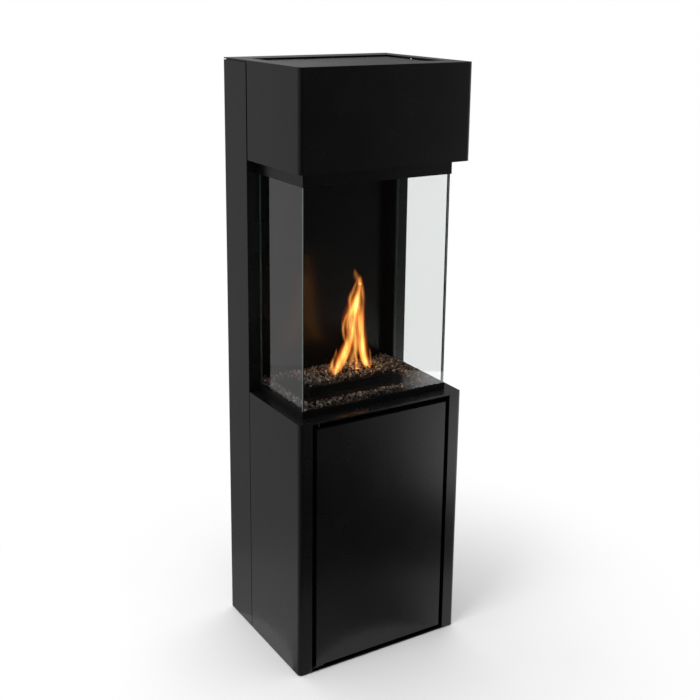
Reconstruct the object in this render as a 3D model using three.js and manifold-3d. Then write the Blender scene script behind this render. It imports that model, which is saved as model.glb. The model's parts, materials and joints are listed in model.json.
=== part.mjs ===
// Free-standing bioethanol fireplace: a rear column carries an upper hood, a glass firebox on three
// sides stands between hood and cabinet, and the burner's tank and controls sit behind the door.
// Millimetres, +Z up, front towards -Y, origin on the floor under the centre of the body.

import * as THREE from 'three';
import { mergeVertices } from 'three/addons/utils/BufferGeometryUtils.js';
import Module from 'manifold-3d';

const wasm = await Module();
wasm.setup();

// ------------------------------------------------------------------ whole body
const width = 500;
const depth = 404;
const height = 1585;
const sheet = 2;
const fit = 0.3;
const cornerRadius = 10.5;
const cornerSteps = 6;
const floorGap = 2;
const baseHeight = 8;
const roundSides = 24;
const smallSides = 16;
// How far a cutting tool runs past what it cuts, and how far a joined form runs into its neighbour.
const overlap = 1;

// ------------------------------------------------------------------ column
const columnDepth = 126;
const stileWidth = 38;
const rearFlangeWidth = 20;
const rearInset = 4;
const shadowLine = 2.5;
const topRailHeight = 5;
const topRailInset = 2;
const coverHeight = 605;
const coverGap = 3;
const slotCount = 8;
const slotLength = 160;
const slotHeight = 5;
const slotPitch = 15;
const slotFoot = 120;
const slotHeadGap = 150;
const coverScrewDrop = 30;
const coverScrewRadius = 3;
const coverScrewHead = 5.5;
const coverScrewHeadHeight = 1.7;
const coverScrewLength = 10;

// ------------------------------------------------------------------ firebox recess in the column
const recessDepth = 34;

// ------------------------------------------------------------------ hood and top
const hoodHeight = 251;
const hoodSeam = 6;
const hoodFloorInset = 2;
const hoodBackDrop = 8;
const outletSideMargin = 100;
const outletFrontMargin = 92;
const outletRearMargin = 40;
const baffleSideMargin = 75;
const baffleFrontMargin = 62;
const baffleRearMargin = 10;
const baffleLift = 42;
const baffleLegWidth = 30;
const topSheet = 3;
const topRimSide = 43;
const topRimFront = 67;
const topRimRear = 73;
const topPlateDrop = 4.5;
const topSlot = 10;
const strapWidth = 16;
const strapSeat = 15;
const strapPitch = 110;

// ------------------------------------------------------------------ glass and its frames
const sideLedge = 32.3;
const frontLedge = 39.7;
const glassThickness = 5;
const glassRearGap = 6;
const skirtHeight = 37;
const skirtStandOff = 1;
const innerRailHeight = 36;
const innerRailGap = 1;
const sideGlassHeadGap = 4;
const baseSealHeight = 2;
const frontPaneLift = 14;
const frontPaneHeadroom = 6;
const hearthLipHeight = 17;
const hearthFlange = 20;

// ------------------------------------------------------------------ burner and bed
const trayRim = 13;
const trayGap = 1;
const deckLeftMargin = 29.7;
const deckRightMargin = 61.7;
const deckFrontMargin = 31.3;
const deckRearMargin = 35;
const deckHeight = 14;
const troughSideMargin = 73.7;
const troughDeckMargin = 55;
const troughDepth = 52;
const troughHead = 10;
const troughFlange = 8;
const troughSeat = 3;
const inletMargin = 28;
const inletLength = 15;
const inletRadius = 5;
const emberLeftMargin = 32;
const emberRightMargin = 40;
const emberDeckMargin = 50;
const emberHeight = 20;
const flameSlotLength = 160;
const flameSlotWidth = 12;
const flameForward = 3;
const wickMargin = 1;
const igniterRadius = 4;
const igniterOffset = 20;
const pebbleGap = 2;
const heapHeight = 9;
const bedHeight = 17;
const pebbleBump = 3;
const pebbleWave = 13;
const pebbleStep = 20;

// ------------------------------------------------------------------ cabinet
const cabinetHeight = 707;
const cabinetSeam = 3;
const postWidth = 38.5;
const recessReturn = 26;
const stopFlange = 21.5;
const stopEndGap = 9;
const cabinetLip = 3;
const stopRailHeight = 29;
const plinthStop = 16;
const shelfHeight = 320;
const shelfStopGap = 11;
const shelfFlange = 20;
const troughOpeningGap = 6;
const glideRadius = 15;
const glideInset = 25;
const glideFrontInset = 52;
const glideRearInset = 62;
const jointPlateInset = 15;
const jointPlateEndGap = 30;

// ------------------------------------------------------------------ door
const doorSideGap = 13;
const doorEndGap = 16;
const doorThickness = 18;
const doorTopGap = 21;
const pivotInset = 8.5;
const pivotDepth = 10;
const pivotRadius = 3;
const pivotBlockWidth = 20;
const pivotBlockHeight = 20;
const bracketReach = 16;
const bracketTail = 42;
const bracketThickness = 3;
const stiffenerWidth = 60;
const stiffenerEndGap = 44;
const latchHeight = 24;
const latchLength = 40;
const latchLift = 30;
const latchInset = 10;
const latchSideWall = 8;
const plungerRadius = 4;
const plungerBore = 30;
const plungerBack = 4;

// ------------------------------------------------------------------ fuel system and controls
const tankWidth = 180;
const tankFrontMargin = 55;
const tankRearMargin = 43;
const tankHeight = 198;
const tankWall = 3;
const neckInset = 40;
const neckRadius = 20;
const neckBore = 16;
const neckHeight = 15;
const capWall = 3;
const capSkirt = 12;
const pumpGap = 25;
const pumpWidth = 40;
const pumpHeight = 50;
const pumpPipeRadius = 5;
const pumpPipeLift = 23;
const pumpOutletHeight = 12;
const hoseRadius = 6;
const hoseSides = 10;
const hoseSteps = 16;
const hoseReach = 80;
const controlInset = 43;
const controlWidth = 90;
const controlDepth = 46;
const controlLift = 98;
const controlHeight = 100;
const switchOffset = 25;
const switchWidth = 20;
const switchHeight = 24;
const switchDepth = 12;
const switchProud = 8;
const switchTilt = 8;
const switchGap = 1;
const switchRecess = 14;
const trunnionRadius = 2;
const buttonOffset = 65;
const buttonRadius = 7;
const buttonProud = 5;
const buttonLength = 15;
const socketInset = 73;
const socketFoot = 70;
const socketWidth = 30;
const socketHeight = 22;
const socketDepth = 24;
const socketRecess = 14;
const socketWall = 3;
const socketFlange = 4;

// ------------------------------------------------------------------ places that follow from these
const halfWidth = width / 2;
const frontY = -depth / 2;
const rearY = depth / 2;
const columnFront = rearY - columnDepth;
const innerX = halfWidth - sheet;
const stileX = halfWidth - stileWidth;
const panelFront = rearY - rearInset;
const flangeX = innerX - rearFlangeWidth;
const casingTop = height - topSheet - shadowLine;
const topUnder = height - topSheet;
const hoodBottom = height - hoodHeight;
const hoodRear = columnFront - hoodSeam;
const hoodFloorZ = hoodBottom + hoodFloorInset;
const cabinetRear = columnFront - cabinetSeam;
const cabinetCap = cabinetHeight - sheet;
const recessBack = columnFront + recessDepth;
const glassX = halfWidth - sideLedge;
const glassFront = frontY + frontLedge;
const glassInnerX = glassX - glassThickness;
const glassInnerY = glassFront + glassThickness;
const glassRear = columnFront - glassRearGap;
const frameRear = columnFront - fit;
const hearthFloor = cabinetHeight + sheet;
const glassFoot = hearthFloor + baseSealHeight;
const trayX = glassInnerX - trayGap;
const trayFront = glassInnerY + trayGap;
const trayFloor = hearthFloor + sheet;
const deckTop = trayFloor + deckHeight;
const deckLeft = -trayX + deckLeftMargin;
const deckRight = trayX - deckRightMargin;
const deckFront = trayFront + deckFrontMargin;
const deckRear = recessBack - deckRearMargin;
const troughX = trayX - troughSideMargin;
const troughFront = deckFront + troughDeckMargin;
const troughRear = deckRear - troughDeckMargin;
const troughMiddle = (troughFront + troughRear) / 2;
const inletX = troughX - inletMargin;
const flameLine = troughMiddle - flameForward;
const emberLeft = deckLeft + emberLeftMargin;
const emberRight = deckRight - emberRightMargin;
const emberFront = deckFront + emberDeckMargin;
const emberRear = deckRear - emberDeckMargin;
const emberTop = deckTop + emberHeight;
const jambX = halfWidth - postWidth;
const stopX = jambX - stopFlange;
const stopRear = frontY + recessReturn;
const stopRailFront = stopRear + fit;
const doorX = jambX - doorSideGap;
const doorFoot = doorEndGap;
const doorHead = cabinetHeight - doorTopGap;
const doorRear = frontY + doorThickness;
const pivotX = -doorX + pivotInset;
const pivotY = frontY + pivotDepth;
const shelfTop = shelfHeight + sheet;
const shelfFront = stopRear + shelfStopGap;
const latchX = stopX - latchInset;
const latchCentreZ = shelfTop + latchLift;
const tankX = tankWidth / 2;
const tankFront = shelfFront + tankFrontMargin;
const tankRear = cabinetRear - tankRearMargin;
const neckX = -tankX + neckInset;
const neckY = tankFront + neckInset;
const controlLeft = -innerX + controlInset;
const controlFoot = shelfTop + controlLift;

// ------------------------------------------------------------------ geometry helpers
const both = [-1, 1];

function box([x0, x1], [y0, y1], [z0, z1]) {
  const geometry = new THREE.BoxGeometry(x1 - x0, y1 - y0, z1 - z0);
  return geometry.translate((x0 + x1) / 2, (y0 + y1) / 2, (z0 + z1) / 2);
}

function mirrored(side, [near, far]) {
  return side < 0 ? [-far, -near] : [near, far];
}

function prism(outline, [z0, z1]) {
  const shape = new THREE.Shape(outline.map(([x, y]) => new THREE.Vector2(x, y)));
  const geometry = new THREE.ExtrudeGeometry(shape, { depth: z1 - z0, bevelEnabled: false });
  return geometry.translate(0, 0, z0);
}

function rod(radius, axis, [from, to], [a, b], sides = smallSides) {
  const geometry = new THREE.CylinderGeometry(radius, radius, to - from, sides);
  const middle = (from + to) / 2;
  if (axis === 'x') {
    return geometry.rotateZ(-Math.PI / 2).translate(middle, a, b);
  }
  if (axis === 'y') {
    return geometry.translate(a, middle, b);
  }
  return geometry.rotateX(Math.PI / 2).translate(a, b, middle);
}

function toSolid(geometry) {
  const bare = geometry.clone();
  bare.deleteAttribute('normal');
  bare.deleteAttribute('uv');
  const merged = mergeVertices(bare);
  return new wasm.Manifold(new wasm.Mesh({
    numProp: 3,
    vertProperties: new Float32Array(merged.attributes.position.array),
    triVerts: new Uint32Array(merged.index.array),
  }));
}

function toGeometry(solid) {
  const mesh = solid.getMesh();
  const geometry = new THREE.BufferGeometry();
  geometry.setAttribute('position', new THREE.BufferAttribute(mesh.vertProperties, 3));
  geometry.setIndex(new THREE.BufferAttribute(mesh.triVerts, 1));
  return geometry;
}

function join(...geometries) {
  return toGeometry(geometries.map(toSolid).reduce((sum, next) => sum.add(next)));
}

function cut(geometry, ...tools) {
  return toGeometry(tools.map(toSolid).reduce((rest, tool) => rest.subtract(tool), toSolid(geometry)));
}

// Points of a quarter circle in plan, from one angle to another, about a corner's centre.
function arc(cx, cy, radius, fromAngle, toAngle) {
  const points = [];
  for (let i = 0; i <= cornerSteps; i += 1) {
    const angle = THREE.MathUtils.degToRad(fromAngle + (toAngle - fromAngle) * i / cornerSteps);
    points.push([cx + radius * Math.cos(angle), cy + radius * Math.sin(angle)]);
  }
  return points;
}

// Plan outline of a plate with rounded front corners and a square rear edge.
function roundedPlate(halfX, front, rear, radius) {
  return [
    [-halfX, rear],
    ...arc(-halfX + radius, front + radius, radius, 180, 270),
    ...arc(halfX - radius, front + radius, radius, 270, 360),
    [halfX, rear],
  ];
}

// Plan outline of a three-sided frame that is open at the rear.
function threeSided(halfX, front, rear, wall) {
  return [
    [-halfX, rear],
    [-halfX, front],
    [halfX, front],
    [halfX, rear],
    [halfX - wall, rear],
    [halfX - wall, front + wall],
    [-halfX + wall, front + wall],
    [-halfX + wall, rear],
  ];
}

// ------------------------------------------------------------------ scene graph
const fireplace = new THREE.Group();

function piece(name, finish, geometry) {
  const mesh = new THREE.Mesh(geometry, finish());
  mesh.name = name;
  fireplace.add(mesh);
  return mesh;
}

const casingPaint = () => new THREE.MeshStandardMaterial({ color: 0x2b2b2d, roughness: 0.45, metalness: 0.3 });
const framePaint = () => new THREE.MeshStandardMaterial({ color: 0x161617, roughness: 0.5, metalness: 0.2 });
const darkSteel = () => new THREE.MeshStandardMaterial({ color: 0x232325, roughness: 0.6, metalness: 0.5 });
const zincSteel = () => new THREE.MeshStandardMaterial({ color: 0x9a9da0, roughness: 0.4, metalness: 0.9 });
const glossBlack = () => new THREE.MeshStandardMaterial({ color: 0x0c0c0d, roughness: 0.15, metalness: 0.2 });
const clearGlass = () => new THREE.MeshStandardMaterial({
  color: 0xe4efe9,
  roughness: 0.02,
  metalness: 0,
  transparent: true,
  opacity: 0.25,
});
const sealRubber = () => new THREE.MeshStandardMaterial({ color: 0x111111, roughness: 0.8, metalness: 0 });
const ceramic = () => new THREE.MeshStandardMaterial({ color: 0xd8d3c8, roughness: 0.85, metalness: 0 });
const pebbleStone = () => new THREE.MeshStandardMaterial({ color: 0x8a7463, roughness: 0.7, metalness: 0 });
const tankPlastic = () => new THREE.MeshStandardMaterial({ color: 0xd9d9d4, roughness: 0.5, metalness: 0 });
const blackPlastic = () => new THREE.MeshStandardMaterial({ color: 0x1a1a1b, roughness: 0.55, metalness: 0 });
const redPlastic = () => new THREE.MeshStandardMaterial({ color: 0xa02018, roughness: 0.4, metalness: 0 });

// ------------------------------------------------------------------ column
function casingOutline(side) {
  const outline = [
    [halfWidth, columnFront],
    [stileX, columnFront],
    [stileX, columnFront + sheet],
    [innerX, columnFront + sheet],
    [innerX, panelFront - sheet],
    [flangeX, panelFront - sheet],
    [flangeX, panelFront],
    [innerX, panelFront],
    [innerX, rearY],
    [halfWidth, rearY],
  ];
  return outline.map(([x, y]) => [side * x, y]);
}

const panelX = innerX - fit;
const columnFloor = baseHeight + sheet;
const coverTop = columnFloor + coverHeight;
const topRailFoot = topUnder - topRailHeight;
const coverFront = panelFront;
const coverRear = panelFront + sheet;
const screwX = flangeX + rearFlangeWidth / 2;
const screwZ = coverTop - coverScrewDrop;
const screwHoles = both.map((side) => (
  rod(coverScrewRadius + fit, 'y', [panelFront - 2 * sheet, rearY], [side * screwX, screwZ])
));

function coverScrew(side) {
  const place = [side * screwX, screwZ];
  return join(
    rod(coverScrewRadius, 'y', [coverRear - coverScrewLength, coverRear], place),
    rod(coverScrewHead, 'y', [coverRear, coverRear + coverScrewHeadHeight], place),
  );
}

piece('column_left_casing', casingPaint, cut(prism(casingOutline(-1), [floorGap, casingTop]), ...screwHoles));
piece('column_right_casing', casingPaint, cut(prism(casingOutline(1), [floorGap, casingTop]), ...screwHoles));

const socketMiddle = innerX - socketInset;
const socketX = [socketMiddle - socketWidth / 2, socketMiddle + socketWidth / 2];
const socketZ = [socketFoot, socketFoot + socketHeight];
const coverSlots = [];
for (let i = 0; i < slotCount; i += 1) {
  for (const foot of [columnFloor + slotFoot, coverTop - slotHeadGap]) {
    const z = foot + i * slotPitch;
    coverSlots.push(box(
      [-slotLength / 2, slotLength / 2],
      [coverFront - overlap, coverRear + overlap],
      [z, z + slotHeight],
    ));
  }
}
const socketHole = box(
  [socketX[0] - fit, socketX[1] + fit],
  [coverFront - overlap, coverRear + overlap],
  [socketZ[0] - fit, socketZ[1] + fit],
);
piece('rear_cover', casingPaint, cut(
  box([-panelX, panelX], [coverFront, coverRear], [columnFloor + fit, coverTop]),
  ...coverSlots,
  ...screwHoles,
  socketHole,
));
piece('rear_cover_screw_left', zincSteel, coverScrew(-1));
piece('rear_cover_screw_right', zincSteel, coverScrew(1));
piece('column_back', casingPaint, box(
  [-panelX, panelX],
  [coverFront, coverRear],
  [coverTop + coverGap, casingTop],
));
piece('column_base', darkSteel, box(
  [-panelX, panelX],
  [columnFront + sheet, panelFront - sheet - fit],
  [baseHeight, columnFloor],
));

const recessEdge = [-halfWidth + topRimSide, halfWidth - topRimSide];
const topOpeningY = [frontY + topRimFront, rearY - topRimRear];
piece('column_top_rail', darkSteel, cut(
  box(
    [-innerX + topRailInset, innerX - topRailInset],
    [columnFront + sheet + fit, panelFront - sheet - fit],
    [topRailFoot, topUnder],
  ),
  box([-stileX, stileX], [columnFront, topOpeningY[1] + sheet], [topRailFoot - overlap, topUnder + overlap]),
));

// ------------------------------------------------------------------ power inlet in the rear cover
const socketRear = coverRear + sheet - fit;
piece('power_inlet', blackPlastic, cut(
  join(
    box(socketX, [coverRear - socketDepth, coverRear], socketZ),
    box(
      [socketX[0] - socketFlange, socketX[1] + socketFlange],
      [coverRear, socketRear],
      [socketZ[0] - socketFlange, socketZ[1] + socketFlange],
    ),
  ),
  box(
    [socketX[0] + socketWall, socketX[1] - socketWall],
    [coverRear - socketRecess, rearY + overlap],
    [socketZ[0] + socketWall, socketZ[1] - socketWall],
  ),
));

// ------------------------------------------------------------------ firebox recess
const cheekX = [stileX, stileX + sheet];
const recessY = [columnFront + sheet, recessBack];
const roofZ = [hoodBottom + 2 * sheet, hoodBottom + 3 * sheet];
const sillZ = [cabinetHeight, hearthFloor];
piece('firebox_back', darkSteel, box(
  [-cheekX[1], cheekX[1]],
  [recessBack, recessBack + sheet],
  [sillZ[0], roofZ[1]],
));
piece('firebox_surround', darkSteel, cut(
  box([-cheekX[1], cheekX[1]], recessY, [sillZ[0], roofZ[1]]),
  box([-cheekX[0], cheekX[0]], [recessY[0] - overlap, recessY[1] + overlap], [sillZ[1], roofZ[0]]),
));

// ------------------------------------------------------------------ top
piece('top_frame', casingPaint, cut(
  prism(roundedPlate(halfWidth, frontY, rearY, cornerRadius), [topUnder, height]),
  box(recessEdge, topOpeningY, [topUnder - overlap, height + overlap]),
));
const plateTop = height - topPlateDrop;
const plateUnder = plateTop - sheet;
const plateX = recessEdge[1] - topSlot;
piece('top_plate', casingPaint, box(
  [-plateX, plateX],
  [topOpeningY[0] + topSlot, topOpeningY[1] - topSlot],
  [plateUnder, plateTop],
));
const plateMiddle = (topOpeningY[0] + topOpeningY[1]) / 2;
const strapX = recessEdge[1] + strapSeat;

// A strap crosses under the plate and rises at both ends to the underside of the frame.
function plateStrap(end) {
  const middle = plateMiddle + end * strapPitch / 2;
  const strapY = [middle - strapWidth / 2, middle + strapWidth / 2];
  return cut(
    box([-strapX, strapX], strapY, [plateUnder - sheet, topUnder]),
    box(
      [-recessEdge[1] - fit, recessEdge[1] + fit],
      [strapY[0] - overlap, strapY[1] + overlap],
      [plateUnder, topUnder + overlap],
    ),
  );
}

piece('top_plate_strap_front', framePaint, plateStrap(-1));
piece('top_plate_strap_rear', framePaint, plateStrap(1));

// ------------------------------------------------------------------ hood
const hoodOutline = [
  [-halfWidth, hoodRear],
  ...arc(-halfWidth + cornerRadius, frontY + cornerRadius, cornerRadius, 180, 270),
  ...arc(halfWidth - cornerRadius, frontY + cornerRadius, cornerRadius, 270, 360),
  [halfWidth, hoodRear],
  [innerX, hoodRear],
  ...arc(halfWidth - cornerRadius, frontY + cornerRadius, cornerRadius - sheet, 360, 270),
  ...arc(-halfWidth + cornerRadius, frontY + cornerRadius, cornerRadius - sheet, 270, 180),
  [-innerX, hoodRear],
];
piece('hood_shell', casingPaint, prism(hoodOutline, [hoodBottom, topUnder]));
piece('hood_back', darkSteel, box(
  [-panelX, panelX],
  [hoodRear - sheet, hoodRear],
  [hoodFloorZ, topUnder - hoodBackDrop],
));
const outletX = halfWidth - outletSideMargin;
const outletY = [frontY + outletFrontMargin, hoodRear - outletRearMargin];
const hoodFloorOutline = roundedPlate(
  panelX,
  frontY + sheet + fit,
  hoodRear - sheet - fit,
  cornerRadius - sheet - fit,
);
piece('hood_floor', framePaint, cut(
  prism(hoodFloorOutline, [hoodFloorZ, hoodFloorZ + sheet]),
  box([-outletX, outletX], outletY, [hoodFloorZ - overlap, hoodFloorZ + sheet + overlap]),
));
const hoodFloorTop = hoodFloorZ + sheet;
const baffleFront = frontY + baffleFrontMargin;
const baffleRear = hoodRear - baffleRearMargin;
const baffleZ = hoodFloorTop + baffleLift;
const baffleX = halfWidth - baffleSideMargin;
const baffleLegs = both.map((side) => box(
  mirrored(side, [baffleX - sheet, baffleX]),
  [baffleFront, baffleFront + baffleLegWidth],
  [hoodFloorTop, baffleZ + sheet],
));
const baffleRearLegs = both.map((side) => box(
  mirrored(side, [baffleX - sheet, baffleX]),
  [baffleRear - baffleLegWidth, baffleRear],
  [hoodFloorTop, baffleZ + sheet],
));
piece('hood_baffle', darkSteel, join(
  box([-baffleX, baffleX], [baffleFront, baffleRear], [baffleZ, baffleZ + sheet]),
  ...baffleLegs,
  ...baffleRearLegs,
));
const jointX = halfWidth - jointPlateInset;
piece('hood_joint_plate', darkSteel, box(
  [-jointX, jointX],
  [hoodRear, columnFront],
  [roofZ[1] + jointPlateEndGap, topRailFoot - jointPlateEndGap],
));

// ------------------------------------------------------------------ glass, its skirt, rail and seals
const skirtX = glassX + skirtStandOff + sheet;
const skirtFront = glassFront - skirtStandOff - sheet;
piece('glass_skirt', framePaint, prism(
  threeSided(skirtX, skirtFront, frameRear, sheet),
  [hoodBottom - skirtHeight, hoodFloorZ],
));
piece('glass_inner_rail', darkSteel, prism(
  threeSided(glassInnerX - innerRailGap, glassInnerY + innerRailGap, frameRear, sheet),
  [hoodFloorZ - innerRailHeight, hoodFloorZ],
));
const sideGlass = [glassInnerX, glassX];
const sideGlassY = [glassInnerY + fit, glassRear];
const sideGlassTop = hoodFloorZ - sideGlassHeadGap;
const frontGlassTop = hoodFloorZ - frontPaneHeadroom - frontPaneLift;
piece('front_pane', clearGlass, box([-glassX, glassX], [glassFront, glassInnerY], [glassFoot, frontGlassTop]));
piece('left_pane', clearGlass, box(mirrored(-1, sideGlass), sideGlassY, [glassFoot, sideGlassTop]));
piece('right_pane', clearGlass, box(mirrored(1, sideGlass), sideGlassY, [glassFoot, sideGlassTop]));
piece('glass_base_seal', sealRubber, prism(
  threeSided(glassX, glassFront, glassRear, glassThickness),
  [hearthFloor, glassFoot],
));

const lipX = glassX + fit + sheet;
const lipFront = glassFront - fit - sheet;
piece('hearth_frame', framePaint, join(
  prism(threeSided(lipX, lipFront, frameRear, hearthFlange), [cabinetHeight, hearthFloor]),
  prism(threeSided(lipX, lipFront, frameRear, sheet), [cabinetHeight, cabinetHeight + hearthLipHeight]),
));

// ------------------------------------------------------------------ burner
const trayRear = recessBack - fit;
const troughHoleX = troughX + troughSeat;
const troughHoleY = [troughFront - troughSeat, troughRear + troughSeat];
piece('bed_tray', darkSteel, cut(
  box([-trayX, trayX], [trayFront, trayRear], [hearthFloor, hearthFloor + trayRim]),
  box(
    [-trayX + sheet, trayX - sheet],
    [trayFront + sheet, trayRear - sheet],
    [trayFloor, trayFloor + trayRim],
  ),
  box([-troughHoleX, troughHoleX], troughHoleY, [hearthFloor - overlap, trayFloor + overlap]),
));

const flameSlotX = flameSlotLength / 2;
const flameSlotY = [flameLine - flameSlotWidth / 2, flameLine + flameSlotWidth / 2];
piece('burner_deck', glossBlack, cut(
  box([deckLeft, deckRight], [deckFront, deckRear], [trayFloor, deckTop]),
  box(
    [deckLeft + sheet, deckRight - sheet],
    [deckFront + sheet, deckRear - sheet],
    [trayFloor - overlap, deckTop - sheet],
  ),
  box([-flameSlotX, flameSlotX], flameSlotY, [deckTop - sheet - overlap, deckTop + overlap]),
));

const troughBottom = trayFloor - troughDepth - sheet;
const troughRim = trayFloor + troughHead;
const troughRimX = troughX + troughFlange;
piece('burner_trough', zincSteel, cut(
  join(
    box([-troughX, troughX], [troughFront, troughRear], [troughBottom, troughRim]),
    box(
      [-troughRimX, troughRimX],
      [troughFront - troughFlange, troughRear + troughFlange],
      [trayFloor, trayFloor + sheet],
    ),
    rod(inletRadius, 'z', [troughBottom - inletLength, troughBottom + sheet], [inletX, troughMiddle]),
  ),
  box(
    [-troughX + sheet, troughX - sheet],
    [troughFront + sheet, troughRear - sheet],
    [troughBottom + sheet, troughRim + overlap],
  ),
));
piece('burner_wick', ceramic, box(
  [-flameSlotX + wickMargin, flameSlotX - wickMargin],
  [flameSlotY[0] + wickMargin, flameSlotY[1] - wickMargin],
  [troughBottom + sheet, troughRim],
));
piece('igniter', ceramic, rod(
  igniterRadius,
  'z',
  [troughBottom + sheet, troughRim],
  [flameSlotX + igniterOffset, flameLine],
));

piece('ember_tray', framePaint, cut(
  box([emberLeft, emberRight], [emberFront, emberRear], [deckTop, emberTop]),
  box(
    [emberLeft + sheet, emberRight - sheet],
    [emberFront + sheet, emberRear - sheet],
    [deckTop - overlap, emberTop - sheet],
  ),
  box([-flameSlotX, flameSlotX], flameSlotY, [emberTop - sheet - overlap, emberTop + overlap]),
));

// A bank of pebbles: a slab whose top rises and falls in small waves.
function pebbleBank([x0, x1], [y0, y1], [z0, z1]) {
  const acrossX = Math.max(1, Math.round((x1 - x0) / pebbleStep));
  const acrossY = Math.max(1, Math.round((y1 - y0) / pebbleStep));
  const geometry = new THREE.BoxGeometry(x1 - x0, y1 - y0, z1 - z0, acrossX, acrossY, 1);
  geometry.translate((x0 + x1) / 2, (y0 + y1) / 2, (z0 + z1) / 2);
  const places = geometry.attributes.position;
  for (let i = 0; i < places.count; i += 1) {
    if (places.getZ(i) > (z0 + z1) / 2) {
      const wave = Math.sin(places.getX(i) / pebbleWave) * Math.cos(places.getY(i) / pebbleWave);
      places.setZ(i, z1 + pebbleBump * wave);
    }
  }
  return geometry;
}

const heapX = [emberLeft + pebbleGap, emberRight - pebbleGap];
const heapY = [emberFront + pebbleGap, emberRear - pebbleGap];
piece('pebble_heap', pebbleStone, cut(
  pebbleBank(heapX, heapY, [emberTop, emberTop + heapHeight]),
  box(
    [-flameSlotX - pebbleGap, flameSlotX + pebbleGap],
    [flameSlotY[0] - pebbleGap, flameSlotY[1] + pebbleGap],
    [emberTop - overlap, emberTop + heapHeight + 2 * pebbleBump],
  ),
));

const bedX = trayX - sheet - fit;
const bedY = [trayFront + sheet + fit, trayRear - sheet - fit];
const bedZ = [trayFloor, trayFloor + bedHeight];
piece('pebble_bed', pebbleStone, cut(
  pebbleBank([-bedX, bedX], bedY, bedZ),
  box(
    [deckLeft - pebbleGap, deckRight + pebbleGap],
    [deckFront - pebbleGap, deckRear + pebbleGap],
    [bedZ[0] - overlap, bedZ[1] + 2 * pebbleBump],
  ),
));

// ------------------------------------------------------------------ cabinet

function cabinetShell(side) {
  const outline = [
    [halfWidth, cabinetRear],
    ...arc(halfWidth - cornerRadius, frontY + cornerRadius, cornerRadius, 360, 270),
    [jambX, frontY],
    [jambX, stopRear],
    [jambX + sheet, stopRear],
    [jambX + sheet, frontY + sheet],
    ...arc(halfWidth - cornerRadius, frontY + cornerRadius, cornerRadius - sheet, 270, 360),
    [innerX, cabinetRear],
  ];
  const shell = prism(outline.map(([x, y]) => [side * x, y]), [floorGap, cabinetCap]);
  const stop = box(
    mirrored(side, [stopX, jambX + sheet]),
    [stopRear - sheet, stopRear],
    [columnFloor + 2 * sheet, cabinetCap - stopEndGap],
  );
  return join(shell, stop);
}

piece('cabinet_left_shell', casingPaint, cabinetShell(-1));
piece('cabinet_right_shell', casingPaint, cabinetShell(1));

const pivotPlace = [pivotX, pivotY];
const pivotHoles = rod(pivotRadius + fit, 'z', [0, cabinetCap - fit], pivotPlace);
const bracketTopZ = [cabinetCap - bracketThickness, cabinetCap];
const bracketLowZ = [columnFloor, columnFloor + bracketThickness];
const bracketY = [frontY + 2 * sheet, frontY + 2 * sheet + bracketTail];
const bracketX = [pivotX - bracketReach, pivotX + bracketReach];
const stopRailX = [bracketX[1] + sheet, jambX - 2 * sheet];
const stopRailY = [stopRailFront, stopRailFront + sheet];
const lipHalfX = jambX - fit;
piece('cabinet_top', casingPaint, cut(
  join(
    prism(roundedPlate(halfWidth, frontY, cabinetRear, cornerRadius), [cabinetCap, cabinetHeight]),
    box([-lipHalfX, lipHalfX], [frontY, frontY + sheet], [cabinetCap - cabinetLip, cabinetCap + overlap]),
    box(stopRailX, stopRailY, [cabinetCap - stopRailHeight, cabinetCap + overlap]),
    box(bracketX, bracketY, [bracketTopZ[0], cabinetCap + overlap]),
  ),
  pivotHoles,
  box(
    [-troughX - troughOpeningGap, troughX + troughOpeningGap],
    [troughFront - troughOpeningGap, troughRear + troughOpeningGap],
    [cabinetCap - overlap, cabinetHeight + overlap],
  ),
));
const cabinetBackY = [cabinetRear - sheet, cabinetRear];
const cabinetFloorRear = cabinetBackY[0] - fit;
piece('cabinet_bottom', framePaint, cut(join(
  box([-panelX, panelX], [stopRailFront, cabinetFloorRear], [baseHeight, columnFloor]),
  box([-panelX, panelX], stopRailY, [floorGap, columnFloor]),
  box([-lipHalfX, lipHalfX], [frontY, stopRailFront + overlap], [floorGap, floorGap + sheet]),
  box(stopRailX, stopRailY, [baseHeight, columnFloor + plinthStop]),
  box(bracketX, bracketY, [columnFloor - overlap, bracketLowZ[1]]),
), pivotHoles));
piece('cabinet_back', framePaint, box([-panelX, panelX], cabinetBackY, [baseHeight, cabinetCap]));
piece('cabinet_shelf', framePaint, join(
  box([-panelX, panelX], [shelfFront, cabinetFloorRear], [shelfHeight, shelfTop]),
  box([-panelX, panelX], [shelfFront, shelfFront + sheet], [shelfTop - shelfFlange, shelfTop]),
));

for (const [end, y] of [['front', frontY + glideFrontInset], ['rear', rearY - glideRearInset]]) {
  for (const [name, side] of [['left', -1], ['right', 1]]) {
    const place = [side * (halfWidth - glideInset), y];
    piece(`glide_${end}_${name}`, sealRubber, rod(glideRadius, 'z', [0, baseHeight], place, roundSides));
  }
}

piece('cabinet_joint_plate', darkSteel, box(
  [-jointX, jointX],
  [cabinetRear, columnFront],
  [columnFloor + jointPlateEndGap, cabinetCap - jointPlateEndGap],
));

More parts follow.
